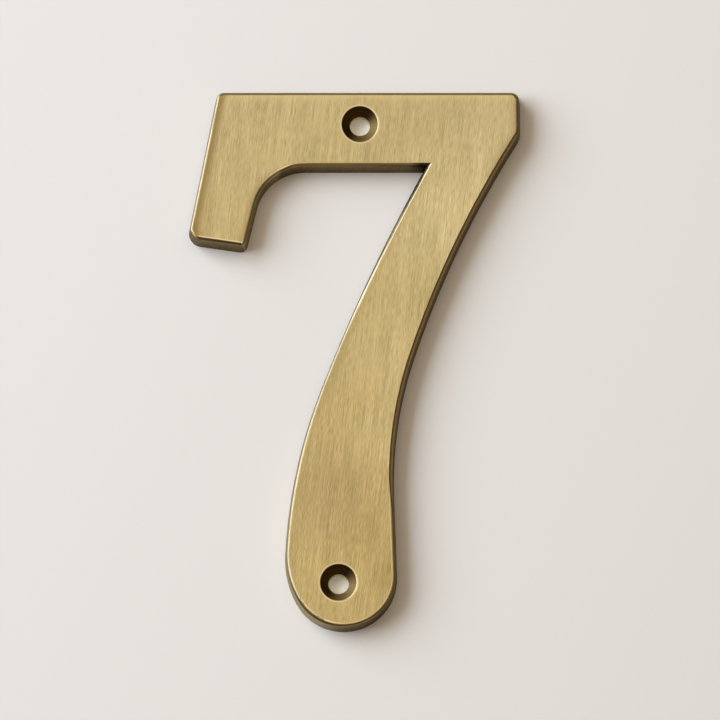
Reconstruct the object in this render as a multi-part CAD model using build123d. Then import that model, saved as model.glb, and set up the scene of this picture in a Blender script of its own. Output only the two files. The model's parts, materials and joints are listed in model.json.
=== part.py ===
"""House number 7: one cast brass numeral, made to be screwed on flat.

Lengths are millimetres. X runs to the right and Z up. The flat back lies in the plane Y = 0, and the
front face looks along -Y. The origin is the centre of the numeral's box in the plane of the back.
"""
import os
from math import radians, tan

from build123d import *

# The casting, measured over its back
HEIGHT = 101.6  # a four inch numeral
WIDTH = 61.94
THICKNESS = 4.5
DRAFT = 4.5  # degrees that each side flares out, from the front to the back
EDGE_RADIUS = 0.7  # rounding of the front rim

# The outline is that of the front rim, where two edges would meet before they are rounded.
# The bar across the top:
BAR_DEPTH = 14.05
BAR_END_LENGTH = 7.9  # the upright edge at its right end
BAR_LEFT = -25.55  # X of its upper left corner
SERIF_LEAN = 11.1  # degrees that its left edge leans out towards the serif's foot
SERIF_LENGTH = 29.4  # from the top down to the inner corner of the serif's foot
SERIF_FOOT_SLOPE = 8.3  # degrees that the foot rises towards the left
NOTCH_START_X = -9.23  # where the underside of the bar turns down into the serif
NOTCH_RADIUS = 9.65
NOTCH_TURN = 76.3  # degrees
CROTCH_X = 13.37  # the sharp inner corner between bar and stem
TOP_CORNER_RADIUS = 1.3  # the bar's two upper corners
FOOT_INNER_RADIUS = 1.1  # the serif's foot, at its corner towards the stem
FOOT_OUTER_RADIUS = 2.2  # and at its outer corner
SHOULDER_RADIUS = 3.6  # the blunt corner where the bar turns into the stem

# The stem's two edges, as arcs that run on from each other, from the lowest point upwards:
FOOT_X = -2.05
FOOT_RADIUS = 9.57
RIGHT_FOOT_TURN = 92.0  # degrees
RIGHT_STRAIGHT = 15.0
WAIST_RADIUS = 74.85  # the hollow of the right edge
WAIST_TURN = 20.5
LEFT_FOOT_TURN = 61.5
HEEL_RADIUS = 17.35  # where the left edge swells out of the foot
HEEL_TURN = 31.4
BELLY_RADIUS = 99.3
BELLY_TURN = 17.9

# Two countersunk holes for wood screws with a 3.5 mm shank
SCREW_HOLE_DIAMETER = 3.8
HEAD_DIAMETER = 6.8
HEAD_ANGLE = 82.0  # degrees
HOLE_RIM_RADIUS = 0.3  # rounding of the countersinks' rims
HOLE_CENTRES = ((0.97, 44.4), (-2.98, -42.2))  # X and Z, top and bottom

FLARE = THICKNESS * tan(radians(DRAFT))
TOP = HEIGHT / 2 - FLARE
RIGHT = WIDTH / 2 - FLARE
UNDERSIDE = TOP - BAR_DEPTH
SHOULDER = Vector(RIGHT, TOP - BAR_END_LENGTH)
CROTCH = Vector(CROTCH_X, UNDERSIDE)
LOWEST = Vector(FOOT_X, -TOP)
FRONT = Plane.XZ.offset(THICKNESS)  # its own x and y are the numeral's X and Z


def tangent_chain(start, direction, stretches, end):
    """Tangent arcs and straights from start, then one last arc that runs on to end.

    A stretch is (radius, turn in degrees), or (None, length) where the edge is straight.
    """
    edges = []
    for radius, amount in stretches:
        if radius is None:
            edges.append(Line(start, start + direction * amount))
        else:
            edges.append(JernArc(start, direction, radius, amount))
        start, direction = edges[-1] @ 1, edges[-1] % 1
    return [*edges, TangentArc(start, end, tangent=direction)]


def stem_edges():
    """The stem's right edge up to the shoulder and its left edge up to the crotch."""
    right = [(FOOT_RADIUS, RIGHT_FOOT_TURN), (None, RIGHT_STRAIGHT), (WAIST_RADIUS, -WAIST_TURN)]
    left = [(FOOT_RADIUS, -LEFT_FOOT_TURN), (HEEL_RADIUS, -HEEL_TURN), (BELLY_RADIUS, -BELLY_TURN)]
    return [
        *tangent_chain(LOWEST, Vector(1, 0), right, SHOULDER),
        *tangent_chain(LOWEST, Vector(-1, 0), left, CROTCH),
    ]


def serif_foot(notch_end):
    """The inner and outer corner of the serif's foot, below the end of the notch's arc."""
    inner_z = TOP - SERIF_LENGTH
    inner_x = notch_end.X - (notch_end.Y - inner_z) / tan(radians(NOTCH_TURN))
    lean = tan(radians(SERIF_LEAN))
    slope = tan(radians(SERIF_FOOT_SLOPE))
    # the leaning left edge and the sloping foot meet this far below the top
    drop = (SERIF_LENGTH - slope * (inner_x - BAR_LEFT)) / (1 + slope * lean)
    return Vector(inner_x, inner_z), Vector(BAR_LEFT - lean * drop, TOP - drop)


def bar_edges(notch, foot_corners):
    """The bar's edge from the crotch round the notch, the serif and the top to the shoulder."""
    points = [notch @ 1, *foot_corners, Vector(BAR_LEFT, TOP), Vector(RIGHT, TOP), SHOULDER]
    return [Line(CROTCH, notch @ 0), notch, Polyline(*points)]


def outline():
    """The face inside the front rim, with its convex corners rounded."""
    notch = JernArc((NOTCH_START_X, UNDERSIDE), (-1, 0), NOTCH_RADIUS, NOTCH_TURN)
    foot_corners = serif_foot(notch @ 1)
    face = make_face([*stem_edges(), *bar_edges(notch, foot_corners)])
    rounding = list(zip(foot_corners, (FOOT_INNER_RADIUS, FOOT_OUTER_RADIUS)))
    rounding += [(Vector(x, TOP), TOP_CORNER_RADIUS) for x in (BAR_LEFT, RIGHT)]
    rounding.append((SHOULDER, SHOULDER_RADIUS))
    for corner, radius in rounding:
        face = fillet(face.vertices().sort_by_distance(corner)[0], radius)
    return face


def casting():
    """The solid numeral without its holes: drafted sides and a rounded front rim."""
    body = extrude(FRONT * outline(), amount=-THICKNESS, taper=-DRAFT)
    rim = body.faces().sort_by(Axis.Y)[0].outer_wire().edges()
    return fillet(rim, EDGE_RADIUS)


def drill(body, centre):
    """Cuts one countersunk screw hole from the front, and rounds its rim."""
    hole = CounterSinkHole(SCREW_HOLE_DIAMETER / 2, HEAD_DIAMETER / 2, THICKNESS, HEAD_ANGLE)
    body = body - FRONT * Pos(*centre) * hole
    front_circles = body.faces().sort_by(Axis.Y)[0].edges().filter_by(GeomType.CIRCLE)
    rim = front_circles.sort_by_distance(FRONT.from_local_coords(centre))[0]
    return fillet(rim, HOLE_RIM_RADIUS)


def numeral():
    body = casting()
    for centre in HOLE_CENTRES:
        body = drill(body, centre)
    return body


def main():
    os.makedirs("parts", exist_ok=True)
    export_step(numeral(), "parts/numeral.step")


main()
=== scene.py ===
"""The looks of the brass house number 7: its finish, a pale backdrop, soft lamps and the camera.

Lengths are metres, in the model's own frame: X to the right, Z up, the flat back in the plane Y = 0
and the front face looking along -Y. Places and sizes on the numeral are given in mm. A rim is the
rounded edge of the face or of a hole, and a side is the drafted surface behind it.
"""

import json
from math import cos, radians, sin

import bpy
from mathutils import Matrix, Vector

MM = 0.001

# The camera looks up at the face from a little below it
CAMERA_DISTANCE = 1.3965
CAMERA_TILT = 10.7  # degrees
CAMERA_AIM = Vector((0.977, 0, 0.418)) * MM
CAMERA_LENS = 375.0  # mm
SENSOR_WIDTH = 36.0  # mm
NEAREST_SEEN = 0.1
FURTHEST_SEEN = 10

# Colours of the bare brass, which is brushed on the face and rubbed bare on the rims, with painted
# highlights and shade
GRAIN_DARK = (0.295, 0.247, 0.112, 1)
GRAIN_LIGHT = (0.535, 0.456, 0.252, 1)
UNDER_TOP_HIGHLIGHT = (0.62, 0.52, 0.28, 1)  # painted highlight on the face under its top edge
SHADED_FACE = (0.22, 0.160, 0.060, 1)  # painted shade on the face along its left edges and its ends
EDGE_SHADE_LINE = (0.13, 0.095, 0.038, 1)  # painted shade in a thin dark line where a left rim begins, next to the face
LOWER_EDGE_HIGHLIGHT = (0.60, 0.525, 0.31, 1)  # painted highlight on the last of the face above the serif's foot and the stem's
SERIF_RIM = (0.53, 0.445, 0.30, 1)  # left rim of the serif, rubbed bare, its highlight partly painted
LEFT_RIM = (0.44, 0.37, 0.25, 1)  # left rim of the stem, rubbed bare, its highlight partly painted, and painted light on the side at its foot's lower left
FOOT_RIM = (0.36, 0.30, 0.18, 1)  # where that rim turns under the foot, painted dimmer
NOOK_RIM = (0.30, 0.245, 0.155, 1)  # left rim of the stem below the bar, painted dimmer
CORNER_RIM = (0.76, 0.67, 0.46, 1)  # the same rim close to the bar, painted as a bright highlight
# painted highlights: on the lower rims, and round the holes
LOWER_RIM = (1.0, 0.84, 0.52, 1)
HOLE_RIM = (0.57, 0.485, 0.29, 1)
HOLE_RIM_LIT = (0.42, 0.345, 0.20, 1)  # the same painted highlight, dimmer on a hole's right, where it faces the key lamp

# Colours of the patina on the other edges and the sides, with painted shade and light among them, and of the
# countersinks, bores and back
RIM_LINE = (0.25, 0.172, 0.045, 1)  # painted shade in a dark line where the bare edge ends
RIGHT_RIM_LINE = (0.06, 0.039, 0.008, 1)  # the same painted shade on the right edges, darker
RIM_PATINA = (0.49, 0.365, 0.165, 1)
SIDE_PATINA_DARK = (0.085, 0.060, 0.036, 1)
SIDE_PATINA_LIGHT = (0.210, 0.155, 0.100, 1)
SERIF_SIDE = (0.25, 0.21, 0.142, 1)  # left side of the serif, painted as lit
STEM_SIDE = (0.18, 0.15, 0.10, 1)  # left side of the stem, painted as lit
HEEL_SIDE = (0.42, 0.34, 0.225, 1)  # the same side where the stem swells at its lower end, painted as more brightly lit
DEEPEST_SHADE = (0.02, 0.012, 0.004, 1)  # painted shade deep in the inner corner, and in thin dark lines at both feet
COUNTERSINK_SHADED = (0.035, 0.020, 0.006, 1)
COUNTERSINK_LIT = (0.62, 0.455, 0.20, 1)
BORE = (0.80, 0.745, 0.62, 1)
BACK_DARK = (0.30, 0.21, 0.10, 1)
BACK_LIGHT = (0.44, 0.33, 0.17, 1)
GRAZING_TINT = (0.75, 0.70, 0.55, 1)  # keeps the steeply seen sides brown

FACE_ROUGHNESS = 0.36
GRAIN_ROUGHNESS = 0.05  # how much rougher its dark streaks are, and how much smoother the light ones
RIM_ROUGHNESS = 0.34
PATINA_ROUGHNESS = 0.46
LEFT_SIDE_ROUGHNESS = 0.8
COUNTERSINK_ROUGHNESS = 0.50
BORE_ROUGHNESS = 0.75
ANISOTROPY = 0.5
BUMP_DISTANCE = 0.01 * MM
BUMP_STRENGTH = 0.25

# Layers of the brushing: its streaks' width, length (mm) and lean from upright (degrees), and weight
GRAIN = (
    (0.075, 1.5, 9.0, 0.39),
    (0.080, 7.0, 7.0, 0.43),
    (0.8, 9.0, 5.0, 0.08),
    (2.6, 26.0, 3.0, 0.10),
)
STREAK_DEPTH = 4  # a streak is this many times as deep as it is wide
STREAK_DETAIL = 0.5
GRAIN_RANGE = (0.34, 0.66)  # the pattern's values where it is fully dark and fully light
NOISE_RANGE = (0.3, 0.7)  # most of a noise's values
SPECKLE_SIZE = (0.8, 2.5, 0.8)
SPECKLE_DETAIL = 3.0
RING_SIZE = 0.12
RING_DETAIL = 1.0
BACK_GRAIN_SIZE = (6, 6, 0.25)

# Where the face is paler or darker than elsewhere: X, Z and radius in mm, and the factor at the middle
TONES = (
    (18, 27, 20, (1.195, 1.23, 1.33)),
    (9, -2, 15, (1.075, 1.09, 1.155)),
    (6.5, -16, 10, (1.11, 1.12, 1.20)),
    (-6, -26, 14, (0.89, 0.87, 0.90)),
    (4, -36, 11, (0.96, 0.96, 0.92)),
    (27, 44, 14, (1.03, 1.05, 1.125)),
    (-30, 27, 7, (0.84, 0.82, 0.77)),
    (7, -41, 5, (0.86, 0.84, 0.79)),
)
NO_TONE = (1, 1, 1, 1)
LOW_TONE = (0.99, 0.975, 0.915, 1)  # factor at the lowest point
HIGH_TONE = (1.01, 1.025, 1.09, 1)  # factor along the top
TONE_Z = (-50, 50)

# Zones of the numeral in mm: where a mask starts and where it is full
SERIF_X = (-18, -22)
SERIF_INNER_X = (-8, -11)  # the serif's edge towards the stem
SERIF_FOOT_X = (-10, -13)
SERIF_FOOT_TOP_Z = (27, 24)
SERIF_FOOT_BOTTOM_Z = (10, 14)
BAR_END_X = (28, 29)
FOOT_Z = (-22, -29)
FOOT_TURN_Z = (-36, -43)  # where the stem's left edge turns under its foot
NOOK_X = (-14, -8)  # the stem's left edge, where it nears the bar
NOOK_Z = (2, 26)
NEAR_CORNER_Z = (17, 28)
BESIDE_BAR_Z = (24, 33)
HEEL_TO_STEM_Z = (-30, -2)
STEM_SHADING_Z = (-22, 0)
SHADED_ENDS_X = ((24, 27), (-9, -13))  # the bar's right end, and the serif
ABOVE_FOOT_Z = (-46, -38)
PALER_TO_FRONT_Y = (-0.3, -3.4)
BORE_REAR_Y = (-2.1, -1.5)

# The inner corner between bar and stem, as X and Z in mm, and distances from it
CORNER_POINT = (13.4, 36.2)
CORNER_REACH = (3.6, 1.0)

# Where the face ends: at the serif's foot on a line that slopes by 8.3 degrees, at the stem's on a circle
SERIF_FOOT_POINT = (-20.64 * MM, 0, 21.69 * MM)
SERIF_FOOT_OUTWARD = (-0.1444, 0, -0.9895)
SERIF_LINE = (-0.34, -0.14)  # mm beyond that point, outward
SERIF_LINE_X = (-20.2, -21.2)
STEM_FOOT_MIDDLE = (-2.05, -40.88)
FOOT_LINE = (8.66, 8.90)  # mm from that middle
FOOT_LINE_X = (-3.0, -5.5)
FOOT_LINE_Z = (-43, -47)

# Distances from a screw hole's axis, in mm
HOLE_ZONE = 4.2
HOLE_EDGE = (3.80, 3.62)
CLEAR_OF_HOLES = (4.6, 5.6)
BACKDROP_IN_HOLE = (3.2, 2.6)

# Edges by the way they face: a direction, and the cosines at which a mask starts and is full
LEFT_EDGES = ((-0.87, 0, 0.50), 0.50, 0.85)
LOWER_EDGES = ((-0.30, 0, -0.95), 0.25, 0.70)
RIGHT_EDGES = ((1, 0, 0), 0.45, 0.75)
TOP_EDGES = ((0, 0, 1), 0.5, 0.9)
SERIF_INNER_EDGE = ((1, 0, 0), 0.2, 0.6)
SERIF_FOOT_EDGE = ((0, 0, -1), 0.7, 0.95)
BAR_END_EDGE = ((1, 0, 0), 0.9, 1.0)
FOOT_LOWER_LEFT = ((-0.7, 0, -0.7), 0.6, 0.95)
FOOT_LOWER_LEFT_SIDE = ((-0.8, 0, -0.6), 0.55, 1.0)
LOWER_TURNED_LEFT = ((-1, 0, 0), 0.5, 0.8)
FOOT_RIGHT = ((1, 0, 0), 0.3, 0.9)
CONE_LIT = ((-0.7, 0, 0.7), -0.2, 1.0)
BORE_LIT = ((0, 0, 1), -0.7, -0.1)
BACK = ((0, 1, 0), 0.90, 0.98)

# Near an edge, the normals averaged over this radius, in mm, lean towards it
AVERAGING_RADIUS = 3.2
AVERAGING_SAMPLES = 8
NEAR_LEFT = ((-1, 0, 0.10), 0.0, 0.26)
NEAR_RIGHT = ((1, 0, 0), 0.05, 0.35)
NEAR_TOP = ((0, 0, 1), 0.0, 0.3)

# The normal's lean, from 0 on the face to nearly 1 on the sides, where a mask starts and is full
EDGE_LINE_LEAN = (0.0, 0.25)
CONE_LEAN = (0.35, 0.62)
BORE_LEAN = (0.85, 0.95)
SIDE_LEAN = (0.62, 0.95)
LOWER_LEFT_SIDE_LEAN = (0.88, 0.99)
LEFT_SIDE_LEAN = (0.80, 0.98)
SERIF_FOOT_LINE_LEAN = (0.75, 0.45)
FOOT_LINE_LEAN = (0.97, 0.90)
RIM_PATINA_PAST_LINE = (0.12, 0.36)  # how far past the bare edge's end

# The lean at which the face turns into a rubbed rim with a painted highlight, and over what width
RIM_START = 0.015
RIM_START_WIDTH = 0.015
LEFT_RIM_START = 0.54
LEFT_RIM_START_WIDTH = 0.15

# The lean at which the bare edge gives way to the patina and its painted line of shade, and over what width
BARE_END = 0.07
BARE_END_FOOT = 0.40
BARE_END_FOOT_RIGHT = 0.62
BARE_END_LOWER_LEFT = 0.48
BARE_END_SERIF_FOOT = -0.02
BARE_END_TOP = 0.27
BARE_END_BAR_END = 0.62
BARE_END_SERIF_INNER = 0.92
BARE_END_LEFT = 0.90
BARE_END_NOOK = 0.25
BARE_END_CORNER = 0.24
BARE_END_HOLE = 0.40
BARE_END_WIDTH = 0.08
BARE_END_BLUNT_WIDTH = 0.46

# How strongly each of these shows, as a share
SERIF_SHADING = 1.0
STEM_SHADING = (0.16, 0.38)
NOOK_SHADING = 0.7
END_SHADING = 0.5
TOP_LIGHTENING = 0.42
EDGE_LINE_BY_SHADING = (0.0, 0.6, 0.55, 0.95)  # shading from and to, and the line's share there
FOOT_LINE_SHARE = 0.5
BLUNT_RUBBED_HIGHLIGHT = 0.5
FOOT_RUBBED_HIGHLIGHT = 0.40
PALER_TO_FRONT_SHARE = 0.5
SPECKLE_SHARE = 0.4
RING_SHARE = 0.10
SERIF_FOOT_LINE_SHARE = 0.75
LOWER_LEFT_LINE_SHARE = 0.40
BESIDE_BAR_SHARE = 0.8
CORNER_SHARE = 0.85

# The soft panels: azimuth and elevation in degrees, width and height, power in watts, and colour
LAMP_DISTANCE = 1.5
LAMPS = {
    "key": ((-53, 18), (1.21, 1.60), 29.0, (1.0, 1.095, 1.205)),
    "fill": ((0, 12), (1.73, 1.40), 8.25, (1.01, 0.83, 0.61)),
}
FRONT_AMBIENT = (0.144, 0.115, 0.082, 1)
BACK_AMBIENT = (0.80, 0.78, 0.75, 1)
FRONT_TO_BACK = (-0.15, 0.35)  # Y of the directions between which the one turns into the other

BACKDROP_COLOUR = (0.79, 0.77, 0.75, 1)
LIGHT_BEHIND_HOLES = (0.95, 0.98, 1.0, 1)  # painted light on the backdrop, where it shows through them
BACKDROP_ROUGHNESS = 0.9
BACKDROP_SPECULAR = 0.2
BACKDROP_GAP = 0.05 * MM  # behind the flat back
BACKDROP_HALF = 0.9  # half of its width and height
CLOSE_TO_BACKDROP = 0.2 * MM


class Graph:
    """Adds nodes to one shader tree. An input is a number, a tuple or another node's socket."""

    def __init__(self, tree):
        self.tree = tree
        tree.nodes.clear()

    def feed(self, socket, value):
        if isinstance(value, bpy.types.NodeSocket):
            self.tree.links.new(value, socket)
        else:
            socket.default_value = value

    def add(self, kind, inputs=None, **settings):
        node = self.tree.nodes.new(kind)
        for name, value in settings.items():
            setattr(node, name, value)
        for name, value in (inputs or {}).items():
            self.feed(node.inputs[name], value)
        return node

    def math(self, operation, *values):
        return self.add("ShaderNodeMath", dict(enumerate(values)), operation=operation).outputs[0]

    def vector(self, operation, *values):
        node = self.add("ShaderNodeVectorMath", dict(enumerate(values)), operation=operation)
        return node.outputs["Value" if operation in ("DOT_PRODUCT", "LENGTH") else "Vector"]

    def separate(self, vector):
        """The X, Y and Z of a vector."""
        return self.add("ShaderNodeSeparateXYZ", {"Vector": vector}).outputs

    def all_of(self, *masks):
        """Where all the masks hold. A plain number among them is a share."""
        total = masks[0]
        for mask in masks[1:]:
            total = self.math("MULTIPLY", total, mask)
        return total

    def any_of(self, *masks):
        """Where the strongest of the masks holds."""
        strongest = masks[0]
        for mask in masks[1:]:
            strongest = self.math("MAXIMUM", strongest, mask)
        return strongest

    def outside(self, mask):
        """Where the mask doesn't hold."""
        return self.math("SUBTRACT", 1.0, mask)

    def step(self, value, start, end, to_start=0.0, to_end=1.0):
        """Smoothly from to_start, where value is at start, to to_end, where it is at end."""
        inputs = {"Value": value, "From Min": start, "From Max": end, "To Min": to_start, "To Max": to_end}
        return self.add("ShaderNodeMapRange", inputs, interpolation_type="SMOOTHSTEP").outputs["Result"]

    def step_mm(self, length, start, end, to_start=0.0, to_end=1.0):
        """The same for a length, with its start and end in mm."""
        return self.step(length, start * MM, end * MM, to_start, to_end)

    def threshold(self, excess, half_width, to_start=0.0, to_end=1.0):
        """Smoothly from to_start to to_end, half way where the excess over the threshold is 0."""
        return self.step(self.math("DIVIDE", excess, half_width), -1.0, 1.0, to_start, to_end)

    def facing(self, normal, towards, start, end):
        """How far a normal points that way, from 0, where their product is start, to 1 at end."""
        return self.step(self.vector("DOT_PRODUCT", normal, towards), start, end)

    def mix(self, factor, a, b):
        """A colour from a, where factor is 0, to b, where it is 1."""
        node = self.add("ShaderNodeMix", data_type="RGBA")
        sockets = {socket.identifier: socket for socket in node.inputs}
        for name, value in (("Factor_Float", factor), ("A_Color", a), ("B_Color", b)):
            self.feed(sockets[name], value)
        return next(s for s in node.outputs if s.identifier == "Result_Color")

    def blend(self, factor, a, b):
        """A number from a, where factor is 0, to b, where it is 1."""
        return self.add("ShaderNodeMix", {0: factor, 2: a, 3: b}).outputs[0]

    def noise(self, place, size, detail=2.0):
        """Noise with features of about that size in mm, or as X, Y and Z sizes."""
        sizes = size if isinstance(size, tuple) else (size, size, size)
        scaled = self.vector("DIVIDE", place, tuple(s * MM for s in sizes))
        inputs = {"Vector": scaled, "Scale": 1.0, "Detail": detail}
        return self.add("ShaderNodeTexNoise", inputs).outputs["Fac"]


def new_material(name):
    material = bpy.data.materials.new(name)
    material.use_nodes = True
    return material, Graph(material.node_tree)


def flat_distance(graph, place, point):
    """How far a place is from a point, both seen from the front."""
    offset = graph.vector("SUBTRACT", place, tuple(point))
    return graph.vector("LENGTH", graph.vector("MULTIPLY", offset, (1, 0, 1)))


def distance_to_holes(graph, place, holes):
    """How far a place is from the nearer screw hole's axis."""
    nearest = None
    for hole in holes:
        away = flat_distance(graph, place, hole)
        nearest = away if nearest is None else graph.math("MINIMUM", nearest, away)
    return nearest


class Surface:
    """The measures of a point of the numeral that its finish depends on, and masks of its zones."""

    def __init__(self, graph, holes):
        self.graph = graph
        coordinates = graph.add("ShaderNodeTexCoord").outputs
        self.place, self.normal = coordinates["Object"], coordinates["Normal"]
        self.x, self.depth, self.height = graph.separate(self.place)
        sideways = graph.vector("MULTIPLY", self.normal, (1, 0, 1))
        self.lean = graph.vector("LENGTH", sideways)
        self.around = graph.vector("NORMALIZE", sideways)
        self.hole_distance = distance_to_holes(graph, self.place, holes)
        self.near_hole = graph.math("LESS_THAN", self.hole_distance, HOLE_ZONE * MM)

        self.foot = self.at_height(*FOOT_Z)
        self.on_serif = self.at_x(*SERIF_X)
        self.near_corner = self.at_height(*NEAR_CORNER_Z)
        self.nook = graph.all_of(self.at_height(*NOOK_Z), self.at_x(*NOOK_X))
        self.corner = graph.step_mm(self.distance(*CORNER_POINT), *CORNER_REACH)
        self.left = self.facing(*LEFT_EDGES)
        self.outer_left = graph.all_of(self.left, graph.outside(self.nook))
        self.lower_left = graph.all_of(self.foot, self.facing(*FOOT_LOWER_LEFT))
        self.serif_inner = graph.all_of(self.at_x(*SERIF_INNER_X), self.facing(*SERIF_INNER_EDGE))
        bar_end = graph.all_of(self.at_x(*BAR_END_X), self.facing(*BAR_END_EDGE))
        self.blunt = graph.any_of(self.serif_inner, bar_end)
        low = graph.all_of(self.at_x(*SERIF_FOOT_X), self.at_height(*SERIF_FOOT_TOP_Z))
        foot_edge = self.facing(*SERIF_FOOT_EDGE)
        self.serif_foot = graph.all_of(low, foot_edge, self.at_height(*SERIF_FOOT_BOTTOM_Z))
        # how strongly painted shade falls along the left edges: most on the serif, and least at the foot
        stem_shading = self.at_height(*STEM_SHADING_Z, *STEM_SHADING)
        self.shading = graph.blend(self.on_serif, stem_shading, SERIF_SHADING)

    def at_x(self, start, end):
        """Smoothly from 0 to 1 between these X in mm."""
        return self.graph.step_mm(self.x, start, end)

    def at_height(self, start, end, to_start=0.0, to_end=1.0):
        """Smoothly from 0 to 1, or from to_start to to_end, between these Z in mm."""
        return self.graph.step_mm(self.height, start, end, to_start, to_end)

    def at_lean(self, start, end):
        """Smoothly from 0 to 1 between these leans of the normal."""
        return self.graph.step(self.lean, start, end)

    def facing(self, towards, start, end):
        """How far the sideways part of the normal points that way, from 0 to 1."""
        return self.graph.facing(self.around, towards, start, end)

    def distance(self, x, z):
        """How far the point is, seen from the front, from the one at that X and Z in mm."""
        return flat_distance(self.graph, self.place, (x * MM, 0, z * MM))


def grain_of(surface):
    """The brushing's pattern, about 0.5 on average."""
    graph = surface.graph
    total = 0.0
    for width, length, lean, weight in GRAIN:
        inputs = {"Vector": surface.place, "Axis": (0, 1, 0), "Angle": radians(-lean)}
        upright = graph.add("ShaderNodeVectorRotate", inputs).outputs["Vector"]
        streaks = graph.noise(upright, (width, width * STREAK_DEPTH, length), STREAK_DETAIL)
        total = graph.math("MULTIPLY_ADD", streaks, weight, total)
    return total


def brushed_colour(surface, grain):
    """Brushed brass, paler in some zones and darker in others."""
    graph = surface.graph
    colour = graph.mix(graph.step(grain, *GRAIN_RANGE), GRAIN_DARK, GRAIN_LIGHT)
    for x, z, radius, factor in TONES:
        near = graph.step_mm(surface.distance(x, z), radius, 0.0)
        colour = graph.vector("MULTIPLY", colour, graph.mix(near, NO_TONE, (*factor, 1)))
    tone = graph.mix(surface.at_height(*TONE_Z), LOW_TONE, HIGH_TONE)
    return graph.vector("MULTIPLY", colour, tone)


def lower_edge_highlight(surface):
    """A painted highlight on the last of the face above the sloping end of the serif's foot and the round
    one of the stem's.
    """
    graph = surface.graph
    offset = graph.vector("SUBTRACT", surface.place, SERIF_FOOT_POINT)
    beyond = graph.vector("DOT_PRODUCT", offset, SERIF_FOOT_OUTWARD)
    serif_line = graph.all_of(graph.step_mm(beyond, *SERIF_LINE), surface.at_x(*SERIF_LINE_X))
    foot_line = graph.step_mm(surface.distance(*STEM_FOOT_MIDDLE), *FOOT_LINE)
    foot_line = graph.all_of(foot_line, surface.at_height(*FOOT_LINE_Z))
    foot_line = graph.all_of(foot_line, surface.at_x(*FOOT_LINE_X), FOOT_LINE_SHARE)
    return graph.any_of(serif_line, foot_line)


def face_colour(surface, grain):
    """The face: brushed, with painted shade along its left edges and its ends, and a painted highlight under
    its top edge.
    """
    graph = surface.graph
    inputs = {"Radius": AVERAGING_RADIUS * MM}
    averaged = graph.add("ShaderNodeBevel", inputs, samples=AVERAGING_SAMPLES).outputs["Normal"]
    clear_of_holes = graph.step_mm(surface.hole_distance, *CLEAR_OF_HOLES)
    # painted shade along the left edges and at the ends of the bar and serif
    left = graph.all_of(graph.facing(averaged, *NEAR_LEFT), surface.shading)
    left = graph.all_of(left, surface.at_height(*ABOVE_FOOT_Z), graph.blend(surface.nook, 1.0, NOOK_SHADING))
    ends = graph.any_of(*(surface.at_x(*zone) for zone in SHADED_ENDS_X))
    ends = graph.all_of(graph.facing(averaged, *NEAR_RIGHT), ends, END_SHADING)
    shade = graph.all_of(graph.any_of(left, ends), clear_of_holes)
    # a painted highlight under the top edge, where the averaged normals lean up
    top = graph.all_of(graph.facing(averaged, *NEAR_TOP), clear_of_holes, TOP_LIGHTENING)

    colour = graph.mix(top, brushed_colour(surface, grain), UNDER_TOP_HIGHLIGHT)
    colour = graph.mix(shade, colour, SHADED_FACE)
    colour = graph.mix(lower_edge_highlight(surface), colour, LOWER_EDGE_HIGHLIGHT)
    return graph.mix(graph.step_mm(surface.hole_distance, *HOLE_EDGE), colour, HOLE_RIM)


def edge_shade_line(surface, outline_left):
    """A thin dark line of painted shade where a left rim begins, stronger where the face is more shaded."""
    strength = surface.graph.step(surface.shading, *EDGE_LINE_BY_SHADING)
    return surface.graph.all_of(outline_left, surface.at_lean(*EDGE_LINE_LEAN), strength)


def rubbed_rim_highlight(surface, outline_left):
    """Where a rim is rubbed bare and painted as a bright highlight: on the left past its dark line, and
    elsewhere from the face on.
    """
    graph = surface.graph
    start = graph.blend(outline_left, RIM_START, LEFT_RIM_START)
    width = graph.blend(outline_left, RIM_START_WIDTH, LEFT_RIM_START_WIDTH)
    rim = graph.threshold(graph.math("SUBTRACT", surface.lean, start), width)
    softer = graph.any_of(graph.math("SUBTRACT", surface.foot, surface.lower_left), surface.blunt)
    below = graph.all_of(surface.facing(*LOWER_EDGES), graph.blend(softer, 1.0, BLUNT_RUBBED_HIGHLIGHT))
    foot = graph.all_of(surface.foot, FOOT_RUBBED_HIGHLIGHT)
    return graph.all_of(rim, graph.any_of(surface.left, surface.near_hole, below, foot))


def rim_highlight_colour(surface):
    """The colour of a rubbed rim's painted highlight, by where it is and how it faces."""
    graph = surface.graph
    nook = graph.mix(surface.near_corner, NOOK_RIM, CORNER_RIM)
    left = graph.mix(surface.on_serif, LEFT_RIM, SERIF_RIM)
    left = graph.mix(surface.at_height(*FOOT_TURN_Z), left, FOOT_RIM)
    lower = graph.mix(surface.facing(*LOWER_TURNED_LEFT), LOWER_RIM, FOOT_RIM)
    outline = graph.mix(surface.left, lower, graph.mix(surface.nook, left, nook))
    hole = graph.mix(surface.left, HOLE_RIM, HOLE_RIM_LIT)
    return graph.mix(surface.near_hole, outline, hole)


def bare_end(surface):
    """The lean at which the bare edge gives way to the patina and its painted line of shade, and over what
    width.
    """
    graph = surface.graph
    foot = graph.blend(surface.facing(*FOOT_RIGHT), BARE_END_FOOT, BARE_END_FOOT_RIGHT)
    foot = graph.blend(surface.lower_left, foot, BARE_END_LOWER_LEFT)
    end = graph.blend(surface.foot, BARE_END, foot)
    end = graph.blend(surface.serif_foot, end, BARE_END_SERIF_FOOT)
    end = graph.blend(surface.facing(*TOP_EDGES), end, BARE_END_TOP)
    blunt = graph.blend(surface.serif_inner, BARE_END_BAR_END, BARE_END_SERIF_INNER)
    end = graph.blend(surface.blunt, end, blunt)
    nook = graph.blend(surface.near_corner, BARE_END_NOOK, BARE_END_CORNER)
    end = graph.blend(surface.left, end, graph.blend(surface.nook, BARE_END_LEFT, nook))
    end = graph.blend(surface.near_hole, end, BARE_END_HOLE)
    return end, graph.blend(surface.blunt, BARE_END_WIDTH, BARE_END_BLUNT_WIDTH)


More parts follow.
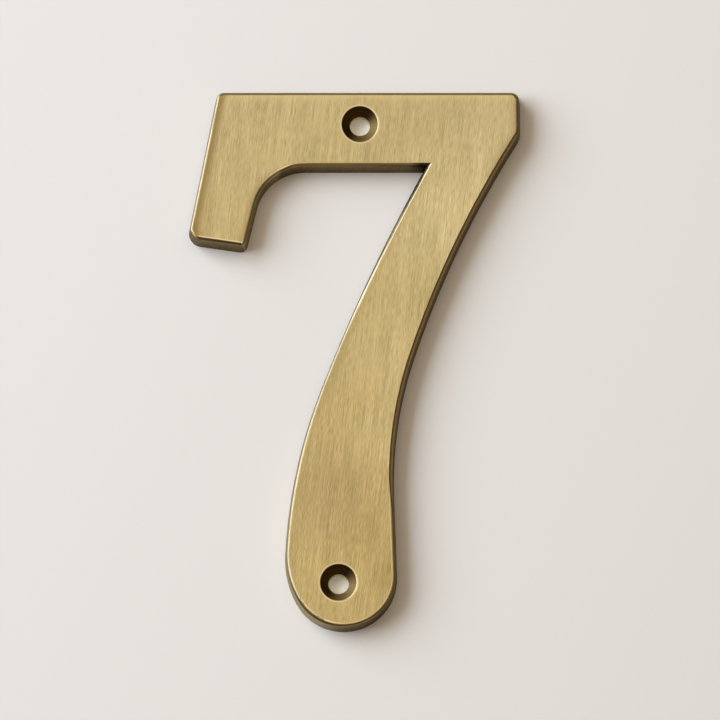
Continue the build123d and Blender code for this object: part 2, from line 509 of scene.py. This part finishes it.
def rim_patina_and_shade(surface, past_bare):
    """A dark line of painted shade next to the bare edge, darkest on the right edges, and olive brown beyond
    it.
    """
    graph = surface.graph
    beyond = graph.step(past_bare, *RIM_PATINA_PAST_LINE)
    dark = graph.any_of(surface.blunt, surface.lower_left)
    right = graph.all_of(surface.facing(*RIGHT_EDGES), graph.outside(surface.serif_inner))
    line = graph.mix(right, RIM_LINE, RIGHT_RIM_LINE)
    return graph.mix(graph.all_of(beyond, graph.outside(dark)), line, RIM_PATINA)


def side_patina_and_light(surface):
    """Speckled brown, a little paler towards the front, and painted as lit on the left sides and the foot's
    lower left.
    """
    graph = surface.graph
    speckle = graph.step(graph.noise(surface.place, SPECKLE_SIZE, SPECKLE_DETAIL), *NOISE_RANGE)
    paler_to_front = graph.all_of(graph.step_mm(surface.depth, *PALER_TO_FRONT_Y), PALER_TO_FRONT_SHARE)
    paler = graph.math("MULTIPLY_ADD", speckle, SPECKLE_SHARE, paler_to_front)
    side = graph.mix(paler, SIDE_PATINA_DARK, SIDE_PATINA_LIGHT)
    foot_turn = graph.all_of(surface.foot, surface.facing(*FOOT_LOWER_LEFT_SIDE))
    side = graph.mix(foot_turn, side, LEFT_RIM)
    stem = graph.mix(surface.at_height(*HEEL_TO_STEM_Z), HEEL_SIDE, STEM_SIDE)
    return graph.mix(surface.outer_left, side, graph.mix(surface.on_serif, stem, SERIF_SIDE))


def patina_and_shade_colour(surface, past_bare):
    """The patina of the rims and sides, with painted shade deepest in the inner corner and in thin lines at
    both feet.
    """
    graph = surface.graph
    lower_left_side = surface.at_lean(*LOWER_LEFT_SIDE_LEAN)
    side = graph.blend(surface.lower_left, surface.at_lean(*SIDE_LEAN), lower_left_side)
    side = graph.any_of(side, surface.left)
    colour = graph.mix(side, rim_patina_and_shade(surface, past_bare), side_patina_and_light(surface))
    serif_line = surface.at_lean(*SERIF_FOOT_LINE_LEAN)
    serif_line = graph.all_of(surface.serif_foot, serif_line, SERIF_FOOT_LINE_SHARE)
    foot_line = surface.at_lean(*FOOT_LINE_LEAN)
    foot_line = graph.all_of(surface.lower_left, foot_line, LOWER_LEFT_LINE_SHARE)
    beside_bar = graph.all_of(surface.left, surface.nook, surface.at_height(*BESIDE_BAR_Z), BESIDE_BAR_SHARE)
    corner = graph.all_of(surface.corner, CORNER_SHARE)
    return graph.mix(graph.any_of(corner, beside_bar, serif_line, foot_line), colour, DEEPEST_SHADE)


def hole_colour(surface):
    """A turned countersink with painted shade at its upper left and painted light at its lower right, and a
    bright bore.
    """
    graph = surface.graph
    inputs = {"X": surface.hole_distance, "Y": surface.depth}
    across_rings = graph.add("ShaderNodeCombineXYZ", inputs).outputs["Vector"]
    rings = graph.step(graph.noise(across_rings, RING_SIZE, RING_DETAIL), *NOISE_RANGE)
    lit = graph.math("MULTIPLY_ADD", rings, RING_SHARE, surface.facing(*CONE_LIT))
    cone = graph.mix(lit, COUNTERSINK_SHADED, COUNTERSINK_LIT)
    # the bore is bright all round in its rear part, and further forward on its sides and floor, painted as
    # lit there
    bright = graph.any_of(surface.facing(*BORE_LIT), graph.step_mm(surface.depth, *BORE_REAR_Y))
    return graph.mix(graph.all_of(surface.at_lean(*BORE_LEAN), bright), cone, BORE)


def back_colour(surface):
    """The flat back, ground from side to side."""
    graph = surface.graph
    grain = graph.step(graph.noise(surface.place, BACK_GRAIN_SIZE), *NOISE_RANGE)
    return graph.mix(grain, BACK_DARK, BACK_LIGHT)


def brass_roughness(surface, grain, rim, bare, left_side, cone):
    """Satin where the brass is bare, and rougher elsewhere, most of all on left sides and in the bores."""
    graph = surface.graph
    rougher, smoother = FACE_ROUGHNESS + GRAIN_ROUGHNESS, FACE_ROUGHNESS - GRAIN_ROUGHNESS
    roughness = graph.step(grain, *NOISE_RANGE, rougher, smoother)
    roughness = graph.blend(rim, roughness, RIM_ROUGHNESS)
    roughness = graph.blend(bare, PATINA_ROUGHNESS, roughness)
    roughness = graph.blend(left_side, roughness, LEFT_SIDE_ROUGHNESS)
    hole = graph.blend(surface.at_lean(*BORE_LEAN), COUNTERSINK_ROUGHNESS, BORE_ROUGHNESS)
    return graph.blend(cone, roughness, hole)


def brass_material(holes):
    """Brushed brass with rims rubbed bare and partly painted as highlights, a dark patina on the rest, and
    painted shade.
    """
    material, graph = new_material("brushed_antique_brass")
    surface = Surface(graph, holes)
    grain = grain_of(surface)
    outline_left = graph.all_of(surface.outer_left, graph.outside(surface.near_hole))
    rim = rubbed_rim_highlight(surface, outline_left)
    face = graph.mix(edge_shade_line(surface, outline_left), face_colour(surface, grain), EDGE_SHADE_LINE)
    face = graph.mix(rim, face, rim_highlight_colour(surface))

    end, width = bare_end(surface)
    past_bare = graph.math("SUBTRACT", surface.lean, end)
    bare = graph.threshold(past_bare, width, 1.0, 0.0)
    colour = graph.mix(bare, patina_and_shade_colour(surface, past_bare), face)
    cone = graph.all_of(surface.at_lean(*CONE_LEAN), surface.near_hole)
    colour = graph.mix(cone, colour, hole_colour(surface))
    colour = graph.mix(graph.facing(surface.normal, *BACK), colour, back_colour(surface))

    left_side = graph.all_of(outline_left, surface.at_lean(*LEFT_SIDE_LEAN))
    along_edge = graph.vector("CROSS_PRODUCT", surface.normal, (0, 1, 0))
    bump = {"Strength": BUMP_STRENGTH, "Distance": BUMP_DISTANCE, "Height": grain}
    shader = graph.add("ShaderNodeBsdfPrincipled", {
        "Base Color": colour,
        "Metallic": 1.0,
        "Roughness": brass_roughness(surface, grain, rim, bare, left_side, cone),
        "Specular Tint": GRAZING_TINT,
        "Anisotropic": ANISOTROPY,
        "Tangent": graph.mix(bare, along_edge, (1, 0, 0, 1)),
        "Normal": graph.add("ShaderNodeBump", bump).outputs["Normal"],
    })
    graph.add("ShaderNodeOutputMaterial", {"Surface": shader.outputs["BSDF"]})
    return material


def backdrop_material(holes):
    """Pale and matt from the front, with painted light behind the screw holes, and nothing at all from
    behind or close against the numeral's back.
    """
    material, graph = new_material("backdrop")
    place = graph.add("ShaderNodeTexCoord").outputs["Object"]
    in_hole = graph.step_mm(distance_to_holes(graph, place, holes), *BACKDROP_IN_HOLE)
    shader = graph.add("ShaderNodeBsdfPrincipled", {
        "Base Color": graph.mix(in_hole, BACKDROP_COLOUR, LIGHT_BEHIND_HOLES),
        "Roughness": BACKDROP_ROUGHNESS,
        "Specular IOR Level": BACKDROP_SPECULAR,
    })
    clear = graph.add("ShaderNodeBsdfTransparent")
    behind = graph.add("ShaderNodeNewGeometry").outputs["Backfacing"]
    ray = graph.add("ShaderNodeLightPath").outputs["Ray Length"]
    hidden = graph.any_of(behind, graph.math("LESS_THAN", ray, CLOSE_TO_BACKDROP))
    inputs = {0: hidden, 1: shader.outputs["BSDF"], 2: clear.outputs["BSDF"]}
    mixed = graph.add("ShaderNodeMixShader", inputs)
    graph.add("ShaderNodeOutputMaterial", {"Surface": mixed.outputs["Shader"]})
    return material


def add_backdrop(holes):
    """An upright plane behind the numeral, facing the camera."""
    half, y = BACKDROP_HALF, BACKDROP_GAP
    corners = [(-half, y, -half), (half, y, -half), (half, y, half), (-half, y, half)]
    mesh = bpy.data.meshes.new("backdrop")
    mesh.from_pydata(corners, [], [(0, 1, 2, 3)])
    mesh.materials.append(backdrop_material(holes))
    backdrop = bpy.data.objects.new("backdrop", mesh)
    bpy.context.scene.collection.objects.link(backdrop)


def direction(azimuth, elevation):
    """Unit vector from the numeral's middle. Azimuth 0 is straight in front, and 90 to the right."""
    across, up = radians(azimuth), radians(elevation)
    return Vector((sin(across) * cos(up), -cos(across) * cos(up), sin(up)))


def add_panel(name, place, size, power, colour):
    """A soft panel that shines at the numeral from that place, and isn't seen itself."""
    lamp = bpy.data.lights.new(name, "AREA")
    lamp.shape = "RECTANGLE"
    lamp.size, lamp.size_y = size
    lamp.energy = power
    lamp.color = colour
    panel = bpy.data.objects.new(name, lamp)
    panel.location = place
    panel.rotation_euler = (-place).to_track_quat("-Z", "Y").to_euler()
    panel.visible_camera = False
    bpy.context.scene.collection.objects.link(panel)


def light_world():
    """Dim and a little warm in front, and pale behind the backdrop, where it lights only the back."""
    world = bpy.data.worlds.new("pale_room")
    world.use_nodes = True
    graph = Graph(world.node_tree)
    ray = graph.add("ShaderNodeTexCoord").outputs["Generated"]
    behind = graph.step(graph.separate(ray)["Y"], *FRONT_TO_BACK)
    colour = graph.mix(behind, FRONT_AMBIENT, BACK_AMBIENT)
    background = graph.add("ShaderNodeBackground", {"Color": colour, "Strength": 1.0})
    graph.add("ShaderNodeOutputWorld", {"Surface": background.outputs["Background"]})
    bpy.context.scene.world = world


def add_camera():
    tilt = radians(CAMERA_TILT)
    data = bpy.data.cameras.new("camera")
    data.lens = CAMERA_LENS
    data.sensor_width = SENSOR_WIDTH
    data.clip_start = NEAREST_SEEN
    data.clip_end = FURTHEST_SEEN
    camera = bpy.data.objects.new("camera", data)
    camera.location = CAMERA_AIM - CAMERA_DISTANCE * Vector((0, cos(tilt), sin(tilt)))
    camera.rotation_euler = (radians(90 + CAMERA_TILT), 0, 0)
    bpy.context.scene.collection.objects.link(camera)
    bpy.context.scene.camera = camera


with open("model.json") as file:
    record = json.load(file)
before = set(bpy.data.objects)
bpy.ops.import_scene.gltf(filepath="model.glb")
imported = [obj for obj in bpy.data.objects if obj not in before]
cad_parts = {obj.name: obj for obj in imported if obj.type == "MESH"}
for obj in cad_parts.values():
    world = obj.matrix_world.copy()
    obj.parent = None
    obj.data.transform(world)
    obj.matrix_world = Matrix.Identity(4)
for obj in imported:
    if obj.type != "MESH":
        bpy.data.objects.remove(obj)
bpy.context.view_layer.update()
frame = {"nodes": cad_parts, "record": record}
screw_holes = [Vector(m["pos_m"]) for m in frame["record"]["mounts"] if m["kind"] == "bore"]

numeral = frame["nodes"]["numeral"]
numeral.data.materials.clear()
numeral.data.materials.append(brass_material(screw_holes))

add_backdrop(screw_holes)
light_world()
for lamp_name, (angles, panel_size, watts, tint) in LAMPS.items():
    add_panel(lamp_name, direction(*angles) * LAMP_DISTANCE, panel_size, watts, tint)
add_camera()
bpy.context.scene.view_settings.view_transform = "Standard"
